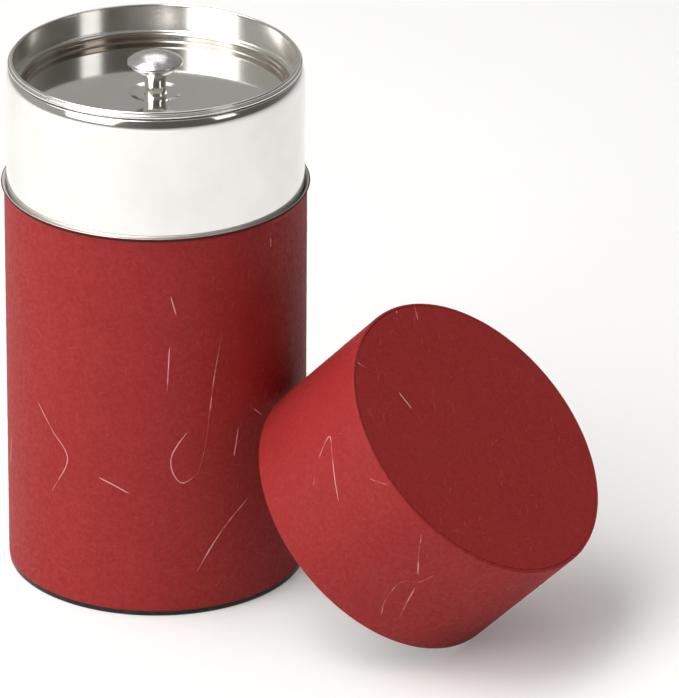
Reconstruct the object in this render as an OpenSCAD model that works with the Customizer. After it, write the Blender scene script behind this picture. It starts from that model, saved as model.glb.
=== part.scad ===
// Washi-covered tea caddy with a pressed inner lid and an outer cap that leans on its side.
// The origin is the centre of the foot, +Z is up, and the cap leans towards +X.

/* [Body] */
// Radius of the body over its paper
body_r = 37.5; // [30:0.5:50]
// Height of the papered body, from the table to its lip
body_h = 102.3; // [60:0.1:160]
// Thickness of the tinplate
tin_t = 0.3; // [0.2:0.05:0.4]
// Thickness of the washi
paper_t = 0.25; // [0.15:0.05:0.4]
// How far the lip of the body flares outwards
lip_flare = 0.7; // [0.3:0.1:1.2]
// Height of the flared lip
lip_h = 2; // [1:0.1:4]
// Width of the lap where the ends of the paper overlap
lap_w = 8; // [4:0.5:15]

/* [Foot] */
// Height of the bare seam that closes the foot
foot_h = 1.4; // [1:0.1:3]
// How far the seam stands in from the paper
foot_inset = 0.1; // [0:0.05:0.3]
// How far the base plate is set up inside the foot
base_rise = 3; // [2:0.1:8]
// Radius of the panel pressed into the base plate
panel_r = 26; // [10:1:28]
// Height of that panel
panel_h = 0.6; // [0.3:0.1:1.5]

/* [Sleeve] */
// Height of the bare collar above the body's lip
collar_h = 30.5; // [15:0.1:45]
// Radial gap between the sleeve and the outer tube
sleeve_fit = 0.05; // [0.01:0.01:0.2]
// Radius of the inward curve that leads the cap on
mouth_round = 5.7; // [2:0.1:8]
// Angle through which the mouth turns inwards
mouth_turn = 28; // [15:1:40]
// Radius of the rolled edge at the mouth
curl_r = 0.45; // [0.42:0.01:0.8]
// Width of the sleeve's upright seam
seam_w = 4; // [2:0.5:8]

/* [Inner lid] */
// Radial gap between the pan and the mouth
lid_fit = 0.25; // [0.1:0.05:0.5]
// Gap under the rim where it sits on the mouth
lid_seat = 0.3; // [0.1:0.05:0.4]
// Depth of the pan below its rim
pan_depth = 9.1; // [6:0.1:20]
// Radius of the two beads rolled into the rim
bead_r = 0.45; // [0.42:0.01:0.8]
// How far the inner bead stands above the outer one
bead_rise = 0.7; // [0.3:0.05:1]
// Radius of the inside bends of the pan
pan_bend = 0.4; // [0.2:0.05:1]
// Height of the ledge round the floor
step_h = 2.1; // [1.8:0.05:4]
// Width of that ledge
ledge_w = 2; // [1.6:0.1:6]
// Radius of the dimple round the knob's foot
dimple_r = 6.8; // [5:0.1:12]
// Depth of the dimple
dimple_h = 0.3; // [0.2:0.05:1]
// Width of the dimple's sloping side
dimple_w = 1.6; // [0.5:0.1:2]

/* [Knob] */
// Radius of the knob's head
knob_r = 6.9; // [5:0.1:12]
// Height of the head above its edge
knob_dome = 2.6; // [1.5:0.1:4]
// Depth of the head below its edge
knob_under = 3.4; // [1.5:0.1:4.5]
// Radius of the head's rounded edge
knob_edge = 0.6; // [0.3:0.1:1.2]
// Height of the head's edge above the dimple
knob_h = 8.25; // [7:0.05:16]
// Radius of the stem at its waist
stem_r = 2.65; // [2:0.05:4]
// How far the stem flares at its ends
stem_flare = 0.3; // [0.2:0.05:0.8]
// Radius of the shank riveted through the pan
shank_r = 1.5; // [1:0.1:1.8]
// Radial gap round the shank
shank_fit = 0.03; // [0.01:0.01:0.1]
// Radius of the washer under the pan
washer_r = 4.5; // [3.5:0.1:6]
// Thickness of the washer
washer_t = 0.6; // [0.4:0.1:1.2]

/* [Cap] */
// Height of the cap over its paper
cap_h = 38.3; // [20:0.1:60]
// Radial gap between the cap and the collar
cap_fit = 0.6; // [0.1:0.05:0.9]
// How far the side paper stops short of the open edge
cap_bare = 0.1; // [0.05:0.05:1]
// Depth of the plate's flange inside the cap
flange_h = 3; // [2:0.1:6]
// Radius of the cap's top edge
edge_round = 0.4; // [0.3:0.05:0.5]
// Width of the side paper that is turned over the top
turn_in = 0.9; // [0.6:0.1:3]
// Width of the crease between the turned paper and the disc
crease = 0.12; // [0.05:0.01:0.3]
// How far the cap tips from upright as it leans
lean = 43.8; // [30:0.1:60]
// Gap between the leaning cap and the body
lean_gap = 0.3; // [0.1:0.05:1]

/* [Hidden] */
$fn = 96;
washi = "#a33436";
tinplate = "#d9d8d2";
alloy = "#b9b4bc";
// Outside of the tin under the paper, and the flare's turn and radius from its height and reach
tube_r = body_r - paper_t;
flare_turn = 2 * atan(lip_flare / lip_h);
flare_r = lip_h / sin(flare_turn);
// The foot seam grips the tube's necked edge between two skins of the base plate
foot_r = body_r - foot_inset;
neck_r = foot_r - tin_t;
skin_r = neck_r - tin_t;
foot_bend = 1.5 * tin_t;
foot_flat = tin_t / 6;
// Sleeve, and its mouth: lead-in arc, then the rolled edge
sleeve_r = tube_r - tin_t - sleeve_fit;
mouth_z = body_h + collar_h;
curl_at = sleeve_r - mouth_round + (mouth_round - curl_r) * cos(mouth_turn);
lead_z = mouth_z - curl_r - (mouth_round - curl_r) * sin(mouth_turn);
mouth_r = curl_at - curl_r;
curl_end = 270;
// Pan: outside of its wall, the outer bead over the rolled mouth, the inner bead on the wall
pan_r = mouth_r - lid_fit;
pan_in = pan_r - tin_t;
bead_z = mouth_z + lid_seat + bead_r;
bead_at = max(curl_at, pan_in + 2 * bead_r);
crest_z = bead_z + bead_rise;
rim_z = crest_z + bead_r;
floor_z = rim_z - pan_depth;
bend_out = pan_bend + tin_t;
step_r = pan_in - ledge_w;
dimple_z = floor_z - dimple_h;
// Knob: lens-shaped head and waisted stem
knob_z = dimple_z + knob_h;
edge_at = knob_r - knob_edge;
dome_r = (edge_at * edge_at + knob_dome * knob_dome - knob_edge * knob_edge)
    / (2 * (knob_dome - knob_edge));
under_r = (edge_at * edge_at + knob_under * knob_under - knob_edge * knob_edge)
    / (2 * (knob_under - knob_edge));
stem_h = knob_h - knob_under / 2;
waist_r = (stem_h * stem_h / 4 + stem_flare * stem_flare) / (2 * stem_flare);
tail_r = 1.6 * shank_r;
tail_h = 0.4 * tail_r;
tail_dome = (tail_r * tail_r + tail_h * tail_h) / (2 * tail_h);
// Cap: inside, tin and paper radii, and the plate inside the top
cap_in = sleeve_r + cap_fit;
cap_tin = cap_in + tin_t;
cap_r = cap_tin + paper_t;
plate_z = cap_h - paper_t;
disc_r = cap_r - turn_in;
// The leaning cap's open rim stands on the table and meets the body
lean_x = body_r + lean_gap + cap_r * cos(lean);
lean_z = cap_r * sin(lean) - cap_bare * cos(lean);
// Angle round the axis at which the seams lie, away from the front
seam_at = 120;

// Band between two radii, seen end-on, with its foot at z
module band(inner, outer, z, height) {
    translate([inner, z]) square([outer - inner, height]);
}

// Sheet bent to an arc, seen end-on, between angles a and b
module bend(x, z, inner, outer, a, b) {
    translate([x, z]) intersection() {
        difference() {
            circle(r = outer);
            circle(r = inner);
        }
        polygon(concat([[0, 0]], [for (i = [0:4])
            2 * outer * [cos(a + (b - a) * i / 4), sin(a + (b - a) * i / 4)]]));
    }
}

// Part of a revolved profile, centred on an angle round the axis
module strip_at(angle, width, r) {
    span = 360 * width / (2 * PI * r);
    rotate([0, 0, angle - span / 2]) rotate_extrude(angle = span) children();
}

// Places a piece of the cap, drawn upright on its open end, as the cap leans
module leaning() {
    translate([lean_x, 0, lean_z]) rotate([0, lean, 0]) children();
}

// Outer tin wall: necked at the foot, flared at the lip
module body_tube() {
    color(tinplate) rotate_extrude() {
        band(skin_r, neck_r, foot_bend - foot_flat, foot_h);
        band(tube_r - tin_t, tube_r, foot_h, body_h - lip_h - foot_h);
        bend(tube_r + flare_r, body_h - lip_h, flare_r, flare_r + tin_t, 180 - flare_turn, 180);
    }
}

// Sheet of washi wrapped round the tube, following its flare, with a lap behind
module body_paper() {
    color(washi) {
        rotate_extrude() {
            band(tube_r, body_r, foot_h, body_h - lip_h - foot_h);
            bend(tube_r + flare_r, body_h - lip_h, flare_r - paper_t, flare_r,
                180 - flare_turn, 180);
        }
        strip_at(seam_at, lap_w, body_r)
            band(tube_r + paper_t / 2, body_r + paper_t, foot_h + paper_t,
                body_h - lip_h - foot_h - 2 * paper_t);
    }
}

// Base plate: folded round the tube's edge at the foot, set up inside, with a raised panel
module base_plate() {
    color(tinplate) rotate_extrude() {
        band(neck_r, foot_r, foot_bend - foot_flat, foot_h - foot_bend + foot_flat);
        band(skin_r - tin_t, skin_r, foot_bend - foot_flat, base_rise - foot_bend + foot_flat);
        intersection() {
            bend((skin_r + neck_r) / 2, foot_bend - foot_flat, tin_t / 2, foot_bend, 180, 360);
            band(0, body_r, 0, foot_h);
        }
        band(panel_r, skin_r, base_rise, tin_t);
        band(0, panel_r - panel_h, base_rise + panel_h, tin_t);
        polygon([[panel_r, base_rise], [panel_r, base_rise + tin_t],
            [panel_r - panel_h, base_rise + panel_h + tin_t], [panel_r - panel_h, base_rise + panel_h]]);
    }
}

// Inner sleeve: stands on the base plate and rises out of the body as the collar
module inner_sleeve() {
    foot = base_rise + tin_t;
    color(tinplate) {
        rotate_extrude() {
            band(sleeve_r - tin_t, sleeve_r, foot, lead_z - foot);
            bend(sleeve_r - mouth_round, lead_z, mouth_round - tin_t, mouth_round, 0, mouth_turn);
            bend(curl_at, mouth_z - curl_r, curl_r - tin_t, curl_r, mouth_turn - 8, curl_end);
        }
        strip_at(seam_at, seam_w, sleeve_r)
            band(sleeve_r - 2 * tin_t, sleeve_r - tin_t / 2, foot + tin_t, lead_z - foot - 2 * tin_t);
    }
}

// Inner lid's pan: double-beaded rim, upright wall, rounded step, flat floor with a dimple
module lid_pan() {
    ledge_z = floor_z + step_h;
    color(tinplate) rotate_extrude() {
        bend(bead_at, bead_z, bead_r - tin_t, bead_r, -150, 150);
        bend(pan_in + bead_r, crest_z, bead_r - tin_t, bead_r, 0, 180);
        band(pan_in + 2 * bead_r - tin_t, pan_in + 2 * bead_r, bead_z, bead_rise);
        band(pan_in, pan_r, ledge_z + pan_bend, crest_z - ledge_z - pan_bend);
        bend(pan_in - pan_bend, ledge_z + pan_bend, pan_bend, bend_out, 270, 360);
        bend(step_r + bend_out, ledge_z - bend_out, pan_bend, bend_out, 90, 180);
        band(step_r + bend_out, pan_in - pan_bend, ledge_z - tin_t, tin_t);
        band(step_r, step_r + tin_t, floor_z + pan_bend, step_h - pan_bend - bend_out);
        bend(step_r - pan_bend, floor_z + pan_bend, pan_bend, bend_out, 270, 360);
        band(dimple_r, step_r - pan_bend, floor_z - tin_t, tin_t);
        polygon([[dimple_r, floor_z - tin_t], [dimple_r, floor_z],
            [dimple_r - dimple_w, dimple_z], [dimple_r - dimple_w, dimple_z - tin_t]]);
        band(shank_r + shank_fit, dimple_r - dimple_w, dimple_z - tin_t, tin_t);
    }
}

// Turned knob: lens-shaped head with a rounded edge, waisted stem, shank riveted below the pan
module lid_knob() {
    tail_z = dimple_z - tin_t - washer_t;
    color(alloy) rotate_extrude() {
        intersection() {
            translate([0, knob_z + knob_dome - dome_r]) circle(r = dome_r);
            band(0, edge_at * dome_r / (dome_r - knob_edge), knob_z, knob_dome);
        }
        intersection() {
            translate([0, knob_z - knob_under + under_r]) circle(r = under_r);
            band(0, edge_at * under_r / (under_r - knob_edge), knob_z - knob_under, knob_under);
        }
        intersection() {
            translate([edge_at, knob_z]) circle(r = knob_edge);
            band(edge_at, knob_r + 1, knob_z - knob_edge, 2 * knob_edge);
        }
        difference() {
            band(0, stem_r + stem_flare, dimple_z, stem_h);
            translate([stem_r + waist_r, dimple_z + stem_h / 2]) circle(r = waist_r);
        }
        band(0, shank_r, tail_z - tail_h / 2, dimple_z - tail_z + tail_h);
        intersection() {
            translate([0, tail_z - tail_h + tail_dome]) circle(r = tail_dome);
            band(0, tail_r, tail_z - tail_h, tail_h);
        }
    }
}

// Washer that spreads the rivet's load under the pan
module knob_washer() {
    color(tinplate) rotate_extrude()
        band(shank_r + shank_fit, washer_r, dimple_z - tin_t - washer_t, washer_t);
}

// Cap's tin wall
module cap_tube() {
    color(tinplate) leaning() rotate_extrude() band(cap_in, cap_tin, 0, plate_z);
}

// Cap's plate: flush with the end of the wall, flanged down inside it
module cap_plate() {
    color(tinplate) leaning() rotate_extrude() {
        band(0, cap_in - bend_out, plate_z - tin_t, tin_t);
        bend(cap_in - bend_out, plate_z - bend_out, pan_bend, bend_out, 0, 90);
        band(cap_in - tin_t, cap_in, plate_z - flange_h, flange_h - bend_out);
    }
}

// Washi round the cap's side, turned over the top edge, with a lap on the underside
module cap_side_paper() {
    color(washi) leaning() {
        rotate_extrude() {
            band(cap_tin, cap_r, cap_bare, cap_h - edge_round - cap_bare);
            intersection() {
                union() {
                    band(cap_r - edge_round, cap_r, cap_h - edge_round, edge_round);
                    band(disc_r + crease, cap_r, plate_z, paper_t);
                }
                union() {
                    translate([cap_r - edge_round, cap_h - edge_round]) circle(r = edge_round);
                    band(0, cap_r - edge_round, plate_z, paper_t);
                }
                difference() {
                    band(0, cap_r, 0, cap_h);
                    band(0, cap_tin, 0, plate_z);
                }
            }
        }
        strip_at(seam_at, lap_w, cap_r)
            band(cap_tin + paper_t / 2, cap_r + paper_t, cap_bare + paper_t,
                cap_h - edge_round - cap_bare - 2 * paper_t);
    }
}

// Disc of washi pasted over the cap's plate
module cap_top_paper() {
    color(washi) leaning() rotate_extrude() band(0, disc_r, plate_z, paper_t);
}

body_tube();
body_paper();
base_plate();
inner_sleeve();
lid_pan();
lid_knob();
knob_washer();
cap_tube();
cap_plate();
cap_side_paper();
cap_top_paper();
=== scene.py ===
import math
import bmesh
import bpy
import numpy as np
from mathutils import Matrix, Vector


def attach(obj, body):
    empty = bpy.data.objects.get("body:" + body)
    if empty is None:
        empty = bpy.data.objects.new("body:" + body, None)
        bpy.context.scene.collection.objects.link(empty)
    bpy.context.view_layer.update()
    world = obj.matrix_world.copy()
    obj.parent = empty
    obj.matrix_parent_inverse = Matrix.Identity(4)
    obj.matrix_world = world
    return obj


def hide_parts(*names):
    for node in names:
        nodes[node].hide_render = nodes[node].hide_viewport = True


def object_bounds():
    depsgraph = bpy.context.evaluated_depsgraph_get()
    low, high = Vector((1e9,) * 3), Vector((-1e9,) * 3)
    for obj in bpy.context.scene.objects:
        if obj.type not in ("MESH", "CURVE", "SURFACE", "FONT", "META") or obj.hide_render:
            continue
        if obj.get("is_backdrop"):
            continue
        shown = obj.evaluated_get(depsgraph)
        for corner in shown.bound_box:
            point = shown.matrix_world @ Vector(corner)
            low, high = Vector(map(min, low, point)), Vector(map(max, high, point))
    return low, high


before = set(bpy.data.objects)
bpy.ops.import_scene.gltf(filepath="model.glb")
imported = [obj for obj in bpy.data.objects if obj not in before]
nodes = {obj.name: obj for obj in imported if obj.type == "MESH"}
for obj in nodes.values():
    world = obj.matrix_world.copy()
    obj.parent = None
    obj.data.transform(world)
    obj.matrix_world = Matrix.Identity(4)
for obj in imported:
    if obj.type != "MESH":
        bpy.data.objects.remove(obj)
cadBox = [list(map(float, corner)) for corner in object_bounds()]
print("frame loaded:", sorted(nodes))

mm = 0.001  # the dictionaries below are in millimetres and degrees unless a note says otherwise

cameraView = {
    "sensor": 36,          # mm, along the taller side
    "lens": 361.03,
    "distance": 1593.38,   # from the caddy's axis, along the table
    "height": 783.23,      # above the table
    "azimuth": 31.6,       # round the caddy from the plane in which the cap leans
    "yaw": 1.646,          # to the right of the caddy's axis
    "pitch": 24.533,       # downwards
    "roll": 0.397,
}


def placeCamera(view):
    # Turned from level by yaw, pitch and roll, and then carried round the caddy by the azimuth
    yaw, pitch, roll = (math.radians(view[key]) for key in ("yaw", "pitch", "roll"))
    ahead = Vector((math.sin(yaw) * math.cos(pitch), math.cos(yaw) * math.cos(pitch), -math.sin(pitch)))
    side = Vector((math.cos(yaw), -math.sin(yaw), 0))
    up = side.cross(ahead)
    right = side * math.cos(roll) + up * math.sin(roll)
    top = up * math.cos(roll) - side * math.sin(roll)
    basis = Matrix((right, top, -ahead)).transposed().to_4x4()
    camera = bpy.data.cameras.new("camera")
    camera.sensor_fit = "VERTICAL"
    camera.sensor_height = view["sensor"]
    camera.lens = view["lens"]
    holder = bpy.data.objects.new("camera", camera)
    place = Matrix.Translation(Vector((0, -view["distance"], view["height"])) * mm)
    holder.matrix_world = Matrix.Rotation(math.radians(view["azimuth"]), 4, "Z") @ place @ basis
    bpy.context.scene.collection.objects.link(holder)
    bpy.context.scene.camera = holder


placeCamera(cameraView)


# Surfaces: every piece is a profile (r, z) carried round an axis, or a strand carried along a path.

def arcPoints(x, z, radius, start, end, steps=10):
    # x + radius cos t, z + radius sin t, for t from start to end
    t = np.radians(np.linspace(start, end, steps + 1))
    return np.stack([x + radius * np.cos(t), z + radius * np.sin(t)], 1)


def linePoints(*corners):
    # Corners (r, z) joined by straight runs
    return np.array(corners, float)


def withSupports(profile, gap, closed):
    # Two more points on each long straight run, a gap from its ends, so that smooth shading stays flat there
    after = np.roll(profile, -1, 0)
    length = np.linalg.norm(after - profile, axis=1, keepdims=True)
    unit = (after - profile) / np.maximum(length, 1e-9)
    rows = np.stack([profile, profile + unit * gap, after - unit * gap], 1)
    keep = np.repeat(length > 3 * gap, 3, 1)
    keep[-1] &= closed
    keep[:, 0] = True
    return rows[keep]


def roundTurns(count, extra=()):
    # Angles round the axis, in radians, evenly spaced with any extra ones put in between
    return np.unique(np.concatenate([np.linspace(0, 2 * np.pi, count, endpoint=False), np.radians(extra)]))


def gridMesh(name, points, closedAcross, closedAlong):
    # A grid of points as quads; rows run along the profile and columns round the axis
    rows, columns = points.shape[:2]
    row = np.arange(rows if closedAcross else rows - 1)[:, None]
    column = np.arange(columns if closedAlong else columns - 1)[None, :]
    nextRow, nextColumn = (row + 1) % rows, (column + 1) % columns
    corner = lambda a, b: a * columns + b
    quads = np.stack([corner(row, column), corner(row, nextColumn),
                      corner(nextRow, nextColumn), corner(nextRow, column)], -1).reshape(-1, 4)
    return finishedMesh(name, points, quads)


def finishedMesh(name, points, quads):
    # Doubles merged, so that seams and poles close, and faces turned outwards
    mesh = bpy.data.meshes.new(name)
    mesh.from_pydata(points.reshape(-1, 3).tolist(), [], quads.tolist())
    work = bmesh.new()
    work.from_mesh(mesh)
    bmesh.ops.remove_doubles(work, verts=work.verts, dist=1e-7)
    bmesh.ops.recalc_face_normals(work, faces=work.faces)
    work.to_mesh(mesh)
    work.free()
    mesh.shade_smooth()
    return mesh


def addPiece(name, mesh, body, material, slot, *replaced):
    piece = bpy.data.objects.new(name, mesh)
    bpy.context.scene.collection.objects.link(piece)
    mesh.materials.append(material)
    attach(piece, body)
    if replaced:
        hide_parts(*replaced)
    return piece


def revolve(name, profile, place=None, lap=None, lift=None, turns=240, gap=0.12):
    # r cos t, r sin t, z, with r raised by the lap's height where t lies within it, and then placed
    # A profile that starts and ends on the axis is left open there
    closed = max(profile[0, 0], profile[-1, 0]) > 1e-6
    profile = withSupports(profile, gap, closed)
    angles = roundTurns(turns, () if lap is None else lap["edges"])
    r = np.repeat(profile[:, :1], len(angles), 1)
    z = np.repeat(profile[:, 1:], len(angles), 1)
    if lap is not None:
        within = np.abs((angles - math.radians(lap["at"]) + np.pi) % (2 * np.pi) - np.pi)
        raised = np.clip((math.radians(lap["half"]) - within) / math.radians(lap["ramp"]), 0, 1)
        r = r + lift(profile)[:, None] * raised[None, :]
    points = np.stack([r * np.cos(angles), r * np.sin(angles), z], -1) * mm
    if place is not None:
        points = placed(points, place)
    return gridMesh(name, points, closed, True)


def placed(points, place):
    # Each point turned and then shifted by the placement
    return points @ np.array(place.to_3x3()).T + np.array(place.translation)


# Materials: each reads Object coordinates, in metres.

class Nodes:
    # A node tree with short calls for the nodes that this scene uses
    def __init__(self, tree, place):
        self.tree = tree
        self.place = self.node("ShaderNodeTexCoord").outputs[place]

    def node(self, kind, operation=None, **inputs):
        made = self.tree.nodes.new(kind)
        if operation is not None:
            made.operation = operation
        for key, value in inputs.items():
            self.feed(made.inputs[key], value)
        return made

    def feed(self, socket, value):
        if isinstance(value, bpy.types.NodeSocket):
            self.tree.links.new(value, socket)
        elif isinstance(value, tuple) and socket.type == "RGBA":
            socket.default_value = (*value, 1)
        else:
            socket.default_value = value

    def math(self, operation, *values):
        made = self.node("ShaderNodeMath", operation)
        for socket, value in zip(made.inputs, values):
            self.feed(socket, value)
        return made.outputs[0]

    def span(self, value, low, high, newLow=0.0, newHigh=1.0):
        made = self.node("ShaderNodeMapRange", Value=value)
        made.interpolation_type = "SMOOTHSTEP"
        for key, number in (("From Min", low), ("From Max", high), ("To Min", newLow), ("To Max", newHigh)):
            made.inputs[key].default_value = number
        return made.outputs[0]

    def mix(self, factor, a, b):
        made = self.tree.nodes.new("ShaderNodeMix")
        made.data_type = "RGBA"
        for index, value in ((0, factor), (6, a), (7, b)):
            self.feed(made.inputs[index], value)
        return made.outputs[2]

    def around(self, stops):
        # Colours set by the azimuth round the caddy, in degrees from the camera's side, positive to its left
        turned = self.node("ShaderNodeMapping", Vector=self.place)
        turned.inputs["Rotation"].default_value[2] = math.radians(90 - cameraView["azimuth"])
        radial = self.node("ShaderNodeTexGradient", Vector=turned.outputs[0])
        radial.gradient_type = "RADIAL"
        ramp = self.node("ShaderNodeValToRGB", Fac=radial.outputs["Fac"])
        points = sorted((0.5 - azimuth / 360, colour) for azimuth, colour in stops.items())
        while len(ramp.color_ramp.elements) < len(points):
            ramp.color_ramp.elements.new(0.5)
        for element, (position, colour) in zip(ramp.color_ramp.elements, points):
            element.position = position
        for element, (position, colour) in zip(ramp.color_ramp.elements, points):
            element.color = (*colour, 1)
        return ramp.outputs["Color"]


class Shading(Nodes):
    # A material, read in Object coordinates
    def __init__(self, name):
        self.material = bpy.data.materials.new(name)
        self.material.use_nodes = True
        super().__init__(self.material.node_tree, "Object")
        self.shader = self.tree.nodes["Principled BSDF"]

    def moved(self, shift, scale=(1, 1, 1)):
        return self.node("ShaderNodeMapping", Vector=self.place, Location=shift, Scale=scale).outputs[0]

    def noise(self, scale, detail=3, roughness=0.55, distortion=0, vector=None):
        return self.node("ShaderNodeTexNoise", Vector=vector or self.place, Scale=scale, Detail=detail,
                         Roughness=roughness, Distortion=distortion).outputs[0]

    def height(self):
        return self.node("ShaderNodeSeparateXYZ", Vector=self.place).outputs["Z"]

    def strands(self, scale, width, shift, distortion):
        # Thin curved lines where a noise crosses its middle value, broken up by a second noise
        vector = self.moved(shift)
        across = self.math("ABSOLUTE", self.math("SUBTRACT", self.noise(scale, 1, 0.5, distortion, vector), 0.5))
        line = self.span(across, 0, width, 1, 0)
        return self.math("MULTIPLY", line, self.span(self.noise(scale * 1.7, 2, 0.5, 0, vector), 0.5, 0.62))

    def bump(self, height, distance, strength=1.0):
        made = self.node("ShaderNodeBump", Height=height, Distance=distance, Strength=strength)
        self.tree.links.new(made.outputs[0], self.shader.inputs["Normal"])

    def set(self, **inputs):
        for key, value in inputs.items():
            self.feed(self.shader.inputs[key.replace("_", " ")], value)


washiLook = {
    "deep": (0.235, 0.007, 0.0068),
    "plain": (0.312, 0.0115, 0.011),
    "light": (0.40, 0.032, 0.029),
    "relief": 0.00005,     # metres
    "edge": (0.085, 0.006, 0.008),  # painted shade: the paper's end at the body's lip, darkened to near black
    "edgeShadeFrom": 101.3,
    "edgeShadeFade": 0.4,
}


def makeWashi():
    look = Shading("washi")
    cloud = look.span(look.noise(60, 4, 0.6), 0.3, 0.7)
    pulp = look.span(look.noise(900, 5, 0.7, 0.5), 0.34, 0.66)
    hairs = look.strands(520, 0.024, (0.31, 0.17, 0.02), 1.2)
    pits = look.strands(430, 0.022, (0.05, 0.41, 0.23), 1.4)
    colour = look.mix(look.math("MULTIPLY", cloud, 0.16), washiLook["plain"], washiLook["light"])
    colour = look.mix(look.span(pulp, 0, 0.6, 0.3, 0), colour, washiLook["deep"])
    colour = look.mix(look.span(pulp, 0.5, 1, 0, 0.16), colour, washiLook["light"])
    colour = look.mix(look.math("MULTIPLY", pits, 0.35), colour, washiLook["deep"])
    colour = look.mix(look.math("MULTIPLY", hairs, 0.4), colour, washiLook["light"])
    # Painted shade: the paper darkens to near black over its end at the lip, and is made fully rough there
    low = washiLook["edgeShadeFrom"] * mm
    edge = look.span(look.height(), low, low + washiLook["edgeShadeFade"] * mm)
    colour = look.mix(edge, colour, washiLook["edge"])
    rough = look.math("MAXIMUM", look.span(pulp, 0, 1, 0.74, 0.6), edge)
    look.set(Base_Color=colour, Roughness=rough, Specular_IOR_Level=0.38)
    look.bump(look.math("ADD", look.math("MULTIPLY", pulp, 0.6), hairs), washiLook["relief"], 0.6)
    return look.material


strandLook = {
    "pale": (0.74, 0.32, 0.32),
    "dim": (0.37, 0.032, 0.03),
    "relief": 0.00003,     # metres
}
fibreLook = {
    "faint": (0.43, 0.05, 0.046),
    "relief": 0.00002,
}


def makeStrandLook():
    look = Shading("washiStrand")
    along = look.span(look.noise(95, 3, 0.6), 0.42, 0.6)
    look.set(Base_Color=look.mix(along, strandLook["dim"], strandLook["pale"]), Roughness=0.55,
             Specular_IOR_Level=0.3)
    look.bump(look.noise(2400, 2), strandLook["relief"], 0.5)
    return look.material


def makeFibreLook():
    look = Shading("washiFibre")
    along = look.span(look.noise(700, 3, 0.6), 0.35, 0.65)
    look.set(Base_Color=look.mix(along, washiLook["plain"], fibreLook["faint"]), Roughness=0.62)
    look.bump(look.noise(3000, 2), fibreLook["relief"], 0.4)
    return look.material


tinLook = {
    "bright": (0.86, 0.852, 0.822),
    "dull": (0.79, 0.78, 0.75),
    "relief": 0.00002,     # metres
    "insideRadii": (36.65, 36.8),     # where the inside's finish gives way to the outside's
    "insideHeights": (127.0, 128.5),  # and where it ends below the mouth
}
# Lowest and highest roughness, and how much rougher the inside is
tinFinishes = {
    "tinplate": (0.09, 0.14, 0.4),
    "tinplateInside": (0.14, 0.24, 0.0),
    "tinplateLip": (0.45, 0.6, 0.0),
}


def makeTin(name, low, high, inside):
    # The inside is rougher than the outside where a value is given for it
    look = Shading(name)
    cloud = look.span(look.noise(38, 4, 0.6), 0.3, 0.7)
    grain = look.noise(900, 3, 0.6, 0, look.moved((0, 0, 0), (1, 1, 0.06)))
    rough = look.span(look.math("MULTIPLY", cloud, grain), 0.05, 0.5, low, high)
    if inside:
        reach = look.node("ShaderNodeVectorMath", "LENGTH", Vector=look.moved((0, 0, 0), (1, 1, 0)))
        within = look.span(reach.outputs["Value"], *(r * mm for r in tinLook["insideRadii"]), 1, 0)
        below = look.span(look.height(), *(z * mm for z in tinLook["insideHeights"]), 1, 0)
        rough = look.math("MULTIPLY_ADD", look.math("MULTIPLY", within, below), inside, rough)
    look.set(Metallic=1.0, Base_Color=look.mix(cloud, tinLook["bright"], tinLook["dull"]), Roughness=rough)
    look.bump(look.noise(26, 2), tinLook["relief"], 0.3)
    return look.material


panLook = {
    "wallFrom": 32.0,      # radius at which the drawn wall's satin finish starts
    "wallTo": 32.5,
    "rimAt": 134.1,        # height at which the rim's finish starts
    "rimFade": 0.2,
    "floor": (0.06, 0.10),
    "wall": 0.11,          # how much rougher the wall is
    "stepTint": (0.36, 0.29, 0.24),  # brownish tint in the step round the floor
    "stepTintFrom": 32.4,
    "stepTintTo": 33.8,
    "stepTintBelow": 127.8,
    "stepTintFade": 0.3,
    "stepTintOuterFade": 0.4,
}


def makePanTin():
    look = Shading("panTin")
    cloud = look.span(look.noise(38, 4, 0.6), 0.3, 0.7)
    grain = look.noise(1300, 3, 0.6)
    flat = look.moved((0, 0, 0), (1, 1, 0))
    reach = look.node("ShaderNodeVectorMath", "LENGTH", Vector=flat)
    wall = look.span(reach.outputs["Value"], panLook["wallFrom"] * mm, panLook["wallTo"] * mm)
    rim, rimEnd = panLook["rimAt"] * mm, (panLook["rimAt"] + panLook["rimFade"]) * mm
    wall = look.math("MULTIPLY", wall, look.span(look.height(), rim, rimEnd, 1, 0))
    plain = look.span(look.math("MULTIPLY", cloud, grain), 0.05, 0.5, *panLook["floor"])
    # A brownish tint in patches over the step round the floor, up to the ledge's height
    first, last, fade = panLook["stepTintFrom"] * mm, panLook["stepTintTo"] * mm, panLook["stepTintFade"] * mm
    stepTint = look.math("MULTIPLY", look.span(reach.outputs["Value"], first, first + fade),
                      look.span(reach.outputs["Value"], last - panLook["stepTintOuterFade"] * mm, last, 1, 0))
    below = panLook["stepTintBelow"] * mm
    stepTint = look.math("MULTIPLY", stepTint, look.span(look.height(), below, below + fade, 1, 0))
    stepTint = look.math("MULTIPLY", stepTint, look.span(look.noise(45, 2), 0.3, 0.6, 0.35, 1))
    colour = look.mix(stepTint, look.mix(cloud, tinLook["bright"], tinLook["dull"]), panLook["stepTint"])
    look.set(Metallic=1.0, Base_Color=colour, Roughness=look.math("MULTIPLY_ADD", wall, panLook["wall"], plain))
    look.bump(look.noise(26, 2), tinLook["relief"], 0.3)
    return look.material


knobLook = {
    "head": ((0.70, 0.68, 0.70), (0.84, 0.825, 0.835)),
    "stem": (0.88, 0.87, 0.83),
    "turnedBelow": 130.0,  # height under which the stem is left bright from the lathe
    "turnedFade": 0.6,
    "relief": 0.00004,     # metres
}


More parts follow.
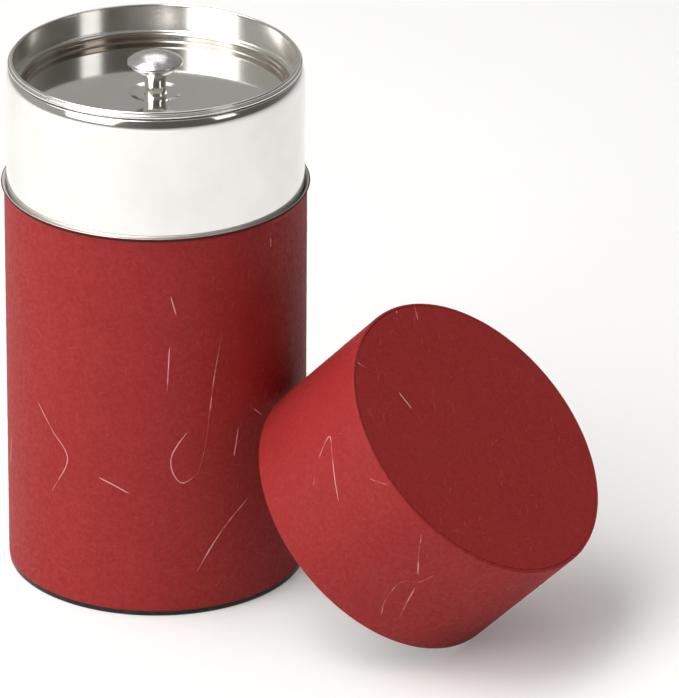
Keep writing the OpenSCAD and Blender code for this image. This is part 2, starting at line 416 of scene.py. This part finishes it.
def makeKnobAlloy():
    look = Shading("knobAlloy")
    grain = look.noise(2600, 4, 0.7)
    fleck = look.span(look.noise(1500, 2, 0.6), 0.35, 0.65)
    below = knobLook["turnedBelow"] * mm
    satin = look.span(look.height(), below, below + knobLook["turnedFade"] * mm)
    lathe = look.noise(60, 2, 0.5, 0, look.moved((0, 0, 0), (1, 1, 90)))
    rough = look.math("MULTIPLY", satin, look.span(grain, 0.3, 0.7, 0.10, 0.17))
    look.set(Metallic=1.0, Base_Color=look.mix(satin, knobLook["stem"], look.mix(fleck, *knobLook["head"])),
             Roughness=look.math("ADD", look.span(lathe, 0.3, 0.7, 0.05, 0.11), rough))
    look.bump(look.math("MULTIPLY", grain, satin), knobLook["relief"], 0.35)
    return look.material


baseLook = {
    "black": (0.012, 0.011, 0.011),
    "dusty": (0.035, 0.033, 0.032),
    "relief": 0.00002,     # metres
}


def makeBaseLacquer():
    look = Shading("baseLacquer")
    dust = look.span(look.noise(500, 4, 0.6), 0.45, 0.75)
    look.set(Base_Color=look.mix(dust, baseLook["black"], baseLook["dusty"]),
             Roughness=look.span(dust, 0, 1, 0.28, 0.5), Specular_IOR_Level=0.25)
    look.bump(dust, baseLook["relief"], 0.3)
    return look.material


washi = makeWashi()
strandMaterial = makeStrandLook()
fibreMaterial = makeFibreLook()
tin, tinInside, tinLip = (makeTin(name, *finish) for name, finish in tinFinishes.items())
panTin = makePanTin()
knobAlloy = makeKnobAlloy()
baseLacquer = makeBaseLacquer()
print("materials made")


bodySizes = {
    "radius": 37.5,        # over the paper
    "height": 102.3,       # up to the lip
    "tin": 0.3,
    "paper": 0.25,
    "flare": 0.7,          # how far the lip stands out
    "flareHeight": 2.0,
    "paperPast": 2.6,      # degrees by which the paper ends past the tin on the lip's curve
    "footHeight": 1.4,
    "footInset": 0.1,
    "hem": 1.3,            # where the wall ends above the table, in sheet thicknesses
    "baseRise": 3.0,
    "panelRadius": 26.0,
    "panelRise": 0.6,
    "lapAt": 120,          # where the ends of the paper overlap
    "lapWidth": 8.0,
    "lapRamp": 0.15,       # over which the upper end rises
}
tubeRadius = bodySizes["radius"] - bodySizes["paper"]
flareTurn = 2 * math.degrees(math.atan(bodySizes["flare"] / bodySizes["flareHeight"]))
flareRadius = bodySizes["flareHeight"] / math.sin(math.radians(flareTurn))


def lapOf(radius):
    # The lap as angles at this radius
    half = math.degrees(bodySizes["lapWidth"] / 2 / radius)
    ramp = math.degrees(bodySizes["lapRamp"] / radius)
    at = bodySizes["lapAt"]
    edges = (at - half, at - half + ramp, at + half - ramp, at + half)
    return {"at": at, "half": half, "ramp": ramp, "edges": edges}


def makeBodyPaper():
    # Upright from a softened lower edge, then outwards along the tin's flare and a little past its end
    size = bodySizes
    foot, shoulder = size["footHeight"], size["height"] - size["flareHeight"]
    centre = tubeRadius + flareRadius
    soft = size["paper"] / 3
    last = 180 - flareTurn - size["paperPast"]
    profile = np.concatenate([
        arcPoints(size["radius"] - soft, foot + soft, soft, -90, 0, 3),
        arcPoints(centre, shoulder, flareRadius - size["paper"], 180, last, 9),
        arcPoints(centre, shoulder, flareRadius, last, 180, 9),
        linePoints((tubeRadius, foot)),
    ])
    lift = lambda p: np.where(p[:, 0] > size["radius"] - soft, size["paper"], 0) * (p[:, 1] < shoulder + 0.01) \
        * (p[:, 1] > foot + soft / 2)
    mesh = revolve("bodyPaper", profile, lap=lapOf(size["radius"]), lift=lift, turns=288)
    return addPiece("bodyPaper", mesh, "caddy", washi, "washi", "body_paper")


def makeBodyTin():
    # Necked at the foot, upright, then flared outwards to a lip with a rounded edge
    size = bodySizes
    thick, foot, shoulder = size["tin"], size["footHeight"], size["height"] - size["flareHeight"]
    neck = size["radius"] - size["footInset"] - thick
    hem = size["hem"] * thick
    centre = tubeRadius + flareRadius
    edge = math.radians(180 - flareTurn)
    lip = flareRadius + thick / 2
    profile = np.concatenate([
        linePoints((neck - thick, hem), (neck, hem), (neck, foot), (tubeRadius, foot)),
        arcPoints(centre, shoulder, flareRadius, 180, 180 - flareTurn, 8)[:-1],
        arcPoints(centre + lip * math.cos(edge), shoulder + lip * math.sin(edge) - thick / 2, thick / 2,
                  -flareTurn, 180 - flareTurn, 8),
        arcPoints(centre, shoulder, flareRadius + thick, 180 - flareTurn, 180, 8)[1:],
        linePoints((tubeRadius - thick, foot), (neck - thick, foot)),
    ])
    addPiece("bodyTin", revolve("bodyTin", profile, turns=288), "caddy", tinLip, "tinplate", "body_tube")


def makeBase():
    # The plate's hem is folded round the neck's lower edge: out and up on the outside, up and in on the inside
    size = bodySizes
    thick, foot = size["tin"], size["footHeight"]
    outer = size["radius"] - size["footInset"]
    inner = outer - 3 * thick
    middle, bend = (outer + inner) / 2, (outer - inner) / 2
    rise, panel, step = size["baseRise"], size["panelRadius"], size["panelRise"]
    profile = np.concatenate([
        linePoints((0, rise + step), (panel - step, rise + step), (panel, rise), (inner, rise)),
        arcPoints(middle, bend, bend, 180, 360, 12),
        linePoints((outer, foot), (outer - thick, foot)),
        arcPoints(middle, bend, bend - thick, 0, -180, 8),
        linePoints((inner + thick, rise + thick), (panel, rise + thick), (panel - step, rise + step + thick),
                   (0, rise + step + thick)),
    ])
    addPiece("base", revolve("base", profile), "caddy", baseLacquer, "base_lacquer", "base_plate")


collarSizes = {
    "radius": 36.9,
    "mouth": 132.8,        # height of the mouth above the table
    "lead": 5.7,           # radius of the curve that leads the cap on
    "turn": 28,
    "curl": 0.45,
    "tin": 0.3,
    "foot": 3.3,
}


def makeCollar():
    # Upright, then inwards on the lead's arc, then round the curl, and back along the inside
    size = collarSizes
    radius, lead, turn, curl, tinThick = (size[k] for k in ("radius", "lead", "turn", "curl", "tin"))
    swing = math.radians(turn)
    curlAt = radius - lead + (lead - curl) * math.cos(swing)
    curlZ = size["mouth"] - curl
    leadZ = curlZ - (lead - curl) * math.sin(swing)
    profile = np.concatenate([
        linePoints((radius, size["foot"])),
        arcPoints(radius - lead, leadZ, lead, 0, turn, 16),
        arcPoints(curlAt, curlZ, curl, turn, 270, 22)[1:],
        arcPoints(curlAt, curlZ, curl - tinThick, 270, turn, 14),
        arcPoints(radius - lead, leadZ, lead - tinThick, turn, 0, 16)[1:],
        linePoints((radius - tinThick, size["foot"])),
    ])
    return addPiece("collar", revolve("collar", profile, turns=288), "caddy", tin, "tinplate", "inner_sleeve")


lidSizes = {
    "wall": 35.136,        # outside of the pan's wall
    "tin": 0.3,
    "bead": 0.45,          # radius of the two beads in the rim
    "outerBeadAt": 35.836,
    "outerBeadZ": 133.55,
    "crestZ": 134.25,
    "floor": 125.6,
    "ledgeHeight": 2.1,
    "ledgeWidth": 2.0,
    "bend": 0.4,
    "dimpleRadius": 6.8,
    "dimpleDepth": 0.3,
    "dimpleSlope": 1.6,
    "hole": 1.53,
}


def makePan():
    # Out over dimple, floor, step and ledge, up the wall, over both beads, and back along the other face
    size = lidSizes
    thick, bead, bend = size["tin"], size["bead"], size["bend"]
    wide = bend + thick
    inner = size["wall"] - thick
    crestX, crestZ = inner + bead, size["crestZ"]
    beadX, beadZ = size["outerBeadAt"], size["outerBeadZ"]
    meet = math.degrees(math.acos((crestX + bead - beadX) / bead))
    floor, ledge, step = size["floor"], size["floor"] + size["ledgeHeight"], inner - size["ledgeWidth"]
    dimple = floor - size["dimpleDepth"]
    dimpleOut, dimpleIn = size["dimpleRadius"], size["dimpleRadius"] - size["dimpleSlope"]
    profile = np.concatenate([
        linePoints((size["hole"], dimple), (dimpleIn, dimple), (dimpleOut, floor)),
        arcPoints(step - bend, floor + bend, bend, 270, 360, 8),
        arcPoints(step + wide, ledge - wide, wide, 180, 90, 10),
        arcPoints(inner - bend, ledge + bend, bend, 270, 360, 8),
        arcPoints(crestX, crestZ, bead, 180, 0, 18),
        arcPoints(beadX, beadZ, bead, meet, -150, 22),
        arcPoints(beadX, beadZ, bead - thick, -150, 100, 12),
        arcPoints(crestX, crestZ, bead - thick, 0, 180, 8),
        arcPoints(inner - bend, ledge + bend, wide, 360, 270, 8),
        arcPoints(step + wide, ledge - wide, bend, 90, 180, 8),
        arcPoints(step - bend, floor + bend, wide, 360, 270, 8),
        linePoints((dimpleOut, floor - thick), (dimpleIn, dimple - thick), (size["hole"], dimple - thick)),
    ])
    return addPiece("lidPan", revolve("lidPan", profile, turns=288), "inner_lid", panTin, "tinplate", "lid_pan")


knobSizes = {
    "radius": 6.9,
    "dome": 2.6,           # height of the head above its edge
    "under": 3.4,          # depth of the head below its edge
    "edge": 0.6,           # radius of the head's edge
    "edgeZ": 133.55,
    "footZ": 125.3,
    "stem": 2.65,          # radius of the waist
    "flare": 0.3,
    "fillet": 0.35,        # between the stem and the head
    "shank": 1.5,
    "tail": 1.6,           # length of the tail under the pan, in shank radii
    "rivet": 1.015,        # radius of the tail's round end, in lengths of the tail
    "tailZ": 123.44,
}


def domeRadius(reach, rise, edge):
    # Radius of a dome that rises by rise over reach and meets a rounded edge smoothly
    return (reach * reach + rise * rise - edge * edge) / (2 * (rise - edge))


def makeKnob():
    # From the riveted tail up the shank and the waisted stem, under the head, round its edge and over its dome
    size = knobSizes
    reach = size["radius"] - size["edge"]
    upper = domeRadius(reach, size["dome"], size["edge"])
    lower = domeRadius(reach, size["under"], size["edge"])
    upperTurn = math.degrees(math.atan2(reach, upper - size["dome"]))
    lowerTurn = math.degrees(math.atan2(reach, lower - size["under"]))
    z, foot = size["edgeZ"], size["footZ"]
    neck = size["stem"] + size["flare"]
    fillet = size["fillet"]
    neckTurn = math.degrees(math.asin((neck + fillet) / lower))
    neckZ = z - size["under"] + lower - lower * math.cos(math.radians(neckTurn))
    stemHeight = neckZ - fillet - foot
    waist = (stemHeight ** 2 / 4 + size["flare"] ** 2) / (2 * size["flare"])
    swing = math.degrees(math.asin(stemHeight / 2 / waist))
    tail = size["tail"] * size["shank"]
    rivet = size["rivet"] * tail
    profile = np.concatenate([
        linePoints((0, size["tailZ"])),
        arcPoints(0, size["tailZ"] + rivet, rivet, -80, -32, 8)[1:],
        linePoints((size["shank"], size["tailZ"] + 0.4 * tail), (size["shank"], foot), (neck, foot)),
        arcPoints(size["stem"] + waist, foot + stemHeight / 2, waist, 180 + swing, 180 - swing, 14)[1:],
        arcPoints(neck + fillet, neckZ - fillet, fillet, 180, 130, 5)[1:],
        arcPoints(0, z - size["under"] + lower, lower, -90 + neckTurn, -90 + lowerTurn, 14)[1:],
        arcPoints(reach, z, size["edge"], -90 + lowerTurn, 90 - upperTurn, 12)[1:],
        arcPoints(0, z + size["dome"] - upper, upper, 90 - upperTurn, 90, 26)[1:],
    ])
    return addPiece("knob", revolve("knob", profile, turns=144, gap=0.05), "inner_lid", knobAlloy,
                    "knob_alloy", "lid_knob")


capSizes = {
    "radius": 38.05,       # over the paper
    "height": 38.3,
    "tin": 0.3,
    "paper": 0.25,
    "bare": 0.1,           # tin left bare at the open edge
    "edge": 0.4,
    "turnIn": 0.9,
    "crease": 0.12,
    "lean": 43.8,
    "gap": 0.3,            # between the cap and the body
}


def capPlace():
    # Upright on its open end at the origin, then tipped about Y and stood on the table against the body
    tip = math.radians(capSizes["lean"])
    x = bodySizes["radius"] + capSizes["gap"] + capSizes["radius"] * math.cos(tip)
    z = capSizes["radius"] * math.sin(tip) - capSizes["bare"] * math.cos(tip)
    return Matrix.Translation(Vector((x, 0, z)) * mm) @ Matrix.Rotation(tip, 4, "Y")


def makeCap():
    # Drawn upright on its open end, and placed as it leans
    size = capSizes
    place = capPlace()
    tinOut = size["radius"] - size["paper"]
    top = size["height"] - size["paper"]
    wall = linePoints((tinOut - size["tin"], 0), (tinOut, 0), (tinOut, top), (tinOut - size["tin"], top))
    addPiece("capWall", revolve("capWall", wall, place), "cap", tinInside, "tinplate", "cap_tube")
    edge, soft = size["edge"], size["paper"] / 3
    inTurn = size["radius"] - size["turnIn"] + size["crease"]
    side = np.concatenate([
        linePoints((tinOut, size["bare"])),
        arcPoints(size["radius"] - soft, size["bare"] + soft, soft, -90, 0, 3),
        arcPoints(size["radius"] - edge, size["height"] - edge, edge, 0, 90, 8),
        arcPoints(inTurn + soft, size["height"] - soft, soft, 90, 180, 3),
        linePoints((inTurn, top), (tinOut, top)),
    ])
    lift = lambda p: np.where(p[:, 0] > size["radius"] - soft, size["paper"], 0) \
        * (p[:, 1] < size["height"] - edge + 0.01) * (p[:, 1] > size["bare"] + soft / 2)
    mesh = revolve("capSidePaper", side, place, lapOf(size["radius"]), lift, 288)
    addPiece("capSidePaper", mesh, "cap", washi, "washi", "cap_side_paper")


makeBodyTin()
makeBodyPaper()
makeBase()
makeCollar()
makePan()
makeKnob()
makeCap()
for name, material in (("knob_washer", tin), ("cap_plate", tinInside), ("cap_top_paper", washi)):
    for slot in nodes[name].material_slots:
        slot.material = material
print("tin, paper and knob made")


strandSizes = {
    "width": 0.33,
    "thick": 0.14,
    "proud": 0.02,         # how far the middle of a strand lies above the paper
    "taper": 0.14,         # share of its length over which each end thins out
    "points": 60,
}
fibreSizes = {
    "width": 0.13,
    "thick": 0.06,
    "proud": 0.005,
    "taper": 0.3,
    "points": 9,
    "shortest": 1.2,
    "longest": 5.0,
    "spread": 17.0,        # square millimetres of paper for each fibre
    "seed": 11,
    "aboveFoot": 2.2,      # paper left free of fibres at each edge
    "belowLip": 3,
    "capEdge": 1,
    "capTopEdge": 1.4,
}
# Long strands in the paper: angle round the axis and height above the piece's foot
bodyStrands = {
    "vee": [(-110, 52.5), (-102, 46.5), (-94.5, 40), (-102.5, 29.5)],
    "dash": [(-53, 87), (-52, 84.5), (-51, 82)],
    "upright": [(-53.5, 73.5), (-54, 67), (-54.5, 61)],
    "hook": [(-33, 75.5), (-36.5, 63), (-39.5, 47), (-42, 40), (-44, 38), (-49, 36.5), (-52.5, 39.5),
             (-53, 43.5), (-50.5, 47), (-46.5, 50.5)],
    "smile": [(-81, 37), (-75, 35.5), (-69, 33.6)],
    "short": [(-26, 49), (-27, 45), (-28, 41.5)],
    "long": [(-21.5, 29), (-29.5, 24.5), (-36.5, 19), (-43.5, 11.5)],
    "tick": [(-19, 53), (-13.5, 49.5)],
    "edge": [(-133, 37.5), (-135, 32), (-136, 26.5)],
    "shoulder": [(-10, 97), (-10, 94.5)],
}
capSideStrands = {
    "vee": [(-113, 16.5), (-120.5, 21.5), (-125, 27), (-116, 25.5), (-102, 21.5)],
    "slant": [(-74, 35), (-68.5, 29.5), (-62.5, 24)],
    "hook": [(-59, 6.5), (-62.5, 11), (-64.5, 17.5), (-63, 20.5), (-59.5, 22.5), (-58, 26.5)],
    "dash": [(-59, 20), (-56, 14), (-53, 8.5)],
    "tick": [(-48, 10), (-47, 8)],
    "edge": [(-28, 30), (-26.5, 33), (-25.5, 35.5)],
    "rim": [(-101.5, 33.5), (-98, 35.5), (-95, 37.5)],
}
# Strands on the cap's top: x and y from its centre
capTopStrands = {
    "bright": [(-35, 13), (-31.5, 10.5)],
    "spot": [(-36.5, 6), (-36, 5.5)],
    "left": [(-32, -19), (-29, -17.5), (-26, -15)],
    "inner": [(-20, -13.5), (-15, -13.5)],
}


def smoothPath(points, count):
    # Catmull-Rom: each stretch blends its two ends with the slopes towards their neighbours
    p = np.array(points, float)
    p = np.concatenate([[2 * p[0] - p[1]], p, [2 * p[-1] - p[-2]]])
    u = np.linspace(0, len(p) - 3 - 1e-6, count)
    k = u.astype(int)
    t = (u - k)[:, None]
    a, b, c, d = p[k], p[k + 1], p[k + 2], p[k + 3]
    return 0.5 * (2 * b + (c - a) * t + (2 * a - 5 * b + 4 * c - d) * t ** 2
                  + (3 * b - a - 3 * c + d) * t ** 3)


def strayFibres(width, height, seed):
    # Short curls scattered over a flat sheet: each heads off at an angle that drifts steadily as it goes
    size = fibreSizes
    rng = np.random.default_rng(size["seed"] + seed)
    count = int(width * height / size["spread"])
    heading = rng.uniform(0, 2 * np.pi, (count, 1)) \
        + np.linspace(-1, 1, size["points"]) * rng.normal(0, 0.9, (count, 1))
    step = rng.uniform(size["shortest"], size["longest"], (count, 1)) / size["points"]
    walk = np.cumsum(np.stack([np.cos(heading), np.sin(heading)], -1) * step[:, :, None], 1)
    start = rng.uniform((0, 0), (width, height), (count, 2))
    return walk + start[:, None]


def onTube(routes, radius):
    # Angle and height become radius cos angle, radius sin angle, height
    t = np.radians(routes[..., 0])
    normal = np.stack([np.cos(t), np.sin(t), np.zeros_like(t)], -1)
    return radius * normal + routes[..., 1:] * (0, 0, 1), normal


def onDisc(routes, height):
    # x and y stay, at one height, with the normal straight up
    flat = np.zeros(routes.shape[:-1] + (1,))
    return np.concatenate([routes, flat + height], -1), np.concatenate([routes * 0, flat + 1], -1)


def layStrands(name, path, normal, size, body, material, place=None, rings=6):
    # A flattened ellipse carried along each path, thinned to nothing at both ends
    along = np.gradient(path, axis=1)
    along /= np.linalg.norm(along, axis=-1, keepdims=True)
    side = np.cross(along, normal)
    share = np.linspace(0, 1, path.shape[1])
    ends = np.clip(np.minimum(share, 1 - share) / size["taper"], 0, 1) ** 0.5
    t = np.linspace(0, 2 * np.pi, rings, endpoint=False)
    across = (size["width"] / 2 * ends[:, None] * np.cos(t))[None, :, :, None] * side[:, :, None]
    rise = size["thick"] / 2 * ends[:, None] * np.sin(t) + size["proud"]
    up = rise[None, :, :, None] * normal[:, :, None]
    points = (path[:, :, None] + across + up) * mm
    if place is not None:
        points = placed(points, place)
    strands, steps = path.shape[:2]
    first = np.arange(strands)[:, None, None] * steps * rings
    step = np.arange(steps - 1)[None, :, None] * rings
    ring = np.arange(rings)[None, None, :]
    here, after = first + step + ring, first + step + (ring + 1) % rings
    quads = np.stack([here, after, after + rings, here + rings], -1).reshape(-1, 4)
    return addPiece(name, finishedMesh(name, points, quads), body, material, "washi")


def drawn(strands):
    return np.stack([smoothPath(points, strandSizes["points"]) for points in strands.values()])


def scattered(radius, low, high, seed):
    # A flat sheet rolled round the axis: its width becomes the angle, and its height is kept within the edges
    sheet = strayFibres(2 * math.pi * radius, high - low, seed)
    return np.stack([np.degrees(sheet[..., 0] / radius), np.clip(sheet[..., 1] + low, low, high)], -1)


def scatteredDisc(radius, seed):
    # A square sheet, of which only the fibres wholly inside the circle are kept
    sheet = strayFibres(2 * radius, 2 * radius, seed) - radius
    return sheet[np.linalg.norm(sheet, axis=-1).max(1) < radius]


cap = capPlace()
bodyRadius, capRadius, capHeight = bodySizes["radius"], capSizes["radius"], capSizes["height"]
layStrands("bodyStrands", *onTube(drawn(bodyStrands), bodyRadius), strandSizes, "caddy", strandMaterial)
layStrands("capStrands", *onTube(drawn(capSideStrands), capRadius), strandSizes, "cap", strandMaterial, cap)
layStrands("capTopStrands", *onDisc(drawn(capTopStrands), capHeight), strandSizes, "cap", strandMaterial, cap)

around = scattered(bodyRadius, fibreSizes["aboveFoot"], bodySizes["height"] - fibreSizes["belowLip"], 1)
layStrands("bodyFibres", *onTube(around, bodyRadius), fibreSizes, "caddy", fibreMaterial, rings=4)
around = scattered(capRadius, fibreSizes["capEdge"], capHeight - fibreSizes["capEdge"], 2)
layStrands("capFibres", *onTube(around, capRadius), fibreSizes, "cap", fibreMaterial, cap, 4)
across = scatteredDisc(capRadius - fibreSizes["capTopEdge"], 3)
layStrands("capTopFibres", *onDisc(across, capHeight), fibreSizes, "cap", fibreMaterial, cap, 4)
print("strands and fibres made")


floorLook = {
    "reach": 40.0,         # metres
    "colour": (0.80, 0.795, 0.785),
    "lift": 0.18,          # how much paler the camera and the metal see it
}


def makeFloor():
    # Plain and pale all over; the lift shows to the camera and in the metal, and adds no diffuse light
    reach = floorLook["reach"]
    mesh = bpy.data.meshes.new("floor")
    mesh.from_pydata([(-reach, -reach, 0), (reach, -reach, 0), (reach, reach, 0), (-reach, reach, 0)], [],
                     [(0, 1, 2, 3)])
    floor = bpy.data.objects.new("floor", mesh)
    look = Shading("paleFloor")
    ray = look.node("ShaderNodeLightPath")
    seen = look.math("MAXIMUM", ray.outputs["Is Camera Ray"],
                     look.math("MAXIMUM", ray.outputs["Is Glossy Ray"], ray.outputs["Is Transmission Ray"]))
    look.set(Base_Color=floorLook["colour"], Roughness=0.9, Emission_Color=(1, 1, 1),
             Emission_Strength=look.math("MULTIPLY", seen, floorLook["lift"]))
    mesh.materials.append(look.material)
    bpy.context.scene.collection.objects.link(floor)
    floor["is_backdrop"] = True


makeFloor()

# Softboxes: azimuth from the camera's side, positive to its left; elevation; distance and size in metres; watts
softboxes = {
    "keyLight": {"azimuth": 50, "elevation": 40, "distance": 1.3, "size": (1.0, 1.7), "power": 14.5},
    "leftLight": {"azimuth": 86, "elevation": 64, "distance": 1.3, "size": (0.9, 1.0), "power": 10},
    "stripLight": {"azimuth": -55, "elevation": 26, "distance": 1.4, "size": (0.4, 0.5), "power": 0.8},
    "backLight": {"azimuth": 180, "elevation": 54, "distance": 1.3, "size": (0.7, 0.75), "power": 1.7},
}
softboxAim = (0, 0, 0.1)   # metres; the place that they all face


def studioDirection(azimuth, elevation):
    # Unit vector from the caddy; azimuth 0 is towards the camera and 90 to the camera's left
    turn = math.radians(cameraView["azimuth"] - 90 - azimuth)
    rise = math.radians(elevation)
    return Vector((math.cos(turn) * math.cos(rise), math.sin(turn) * math.cos(rise), math.sin(rise)))


def makeSoftbox(name, box):
    # At its distance along its direction, facing back
    lamp = bpy.data.lights.new(name, "AREA")
    lamp.shape = "RECTANGLE"
    lamp.size, lamp.size_y = box["size"]
    lamp.energy = box["power"]
    holder = bpy.data.objects.new(name, lamp)
    out = studioDirection(box["azimuth"], box["elevation"])
    holder.location = Vector(softboxAim) + out * box["distance"]
    holder.rotation_euler = out.to_track_quat("Z", "Y").to_euler()
    bpy.context.scene.collection.objects.link(holder)


for name, box in softboxes.items():
    makeSoftbox(name, box)

# Wall tones by azimuth, which meet at 180; "ceiling" is the height on a unit sphere over which it sets in
roomLook = {
    "walls": {180: (0.36, 0.355, 0.34), 90: (0.40, 0.395, 0.37), 0: (0.10, 0.096, 0.085),
              -90: (0.10, 0.095, 0.08), -180: (0.36, 0.355, 0.34)},
    "overhead": (0.30, 0.30, 0.295),
    "ceiling": (0.5, 0.9),
}


def makeRoom():
    # The room round the table: pale walls behind and to the left, darker ones in front and to the right
    world = bpy.data.worlds.new("studio")
    bpy.context.scene.world = world
    world.use_nodes = True
    room = Nodes(world.node_tree, "Generated")
    height = room.node("ShaderNodeSeparateXYZ", Vector=room.place).outputs["Z"]
    walls = room.around(roomLook["walls"])
    colour = room.mix(room.span(height, *roomLook["ceiling"]), walls, roomLook["overhead"])
    room.feed(room.tree.nodes["Background"].inputs["Color"], colour)


makeRoom()
bpy.context.scene.view_settings.view_transform = "Standard"
print("floor and lights made")

{"cad": cadBox, "visual": [list(map(float, corner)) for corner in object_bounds()]}
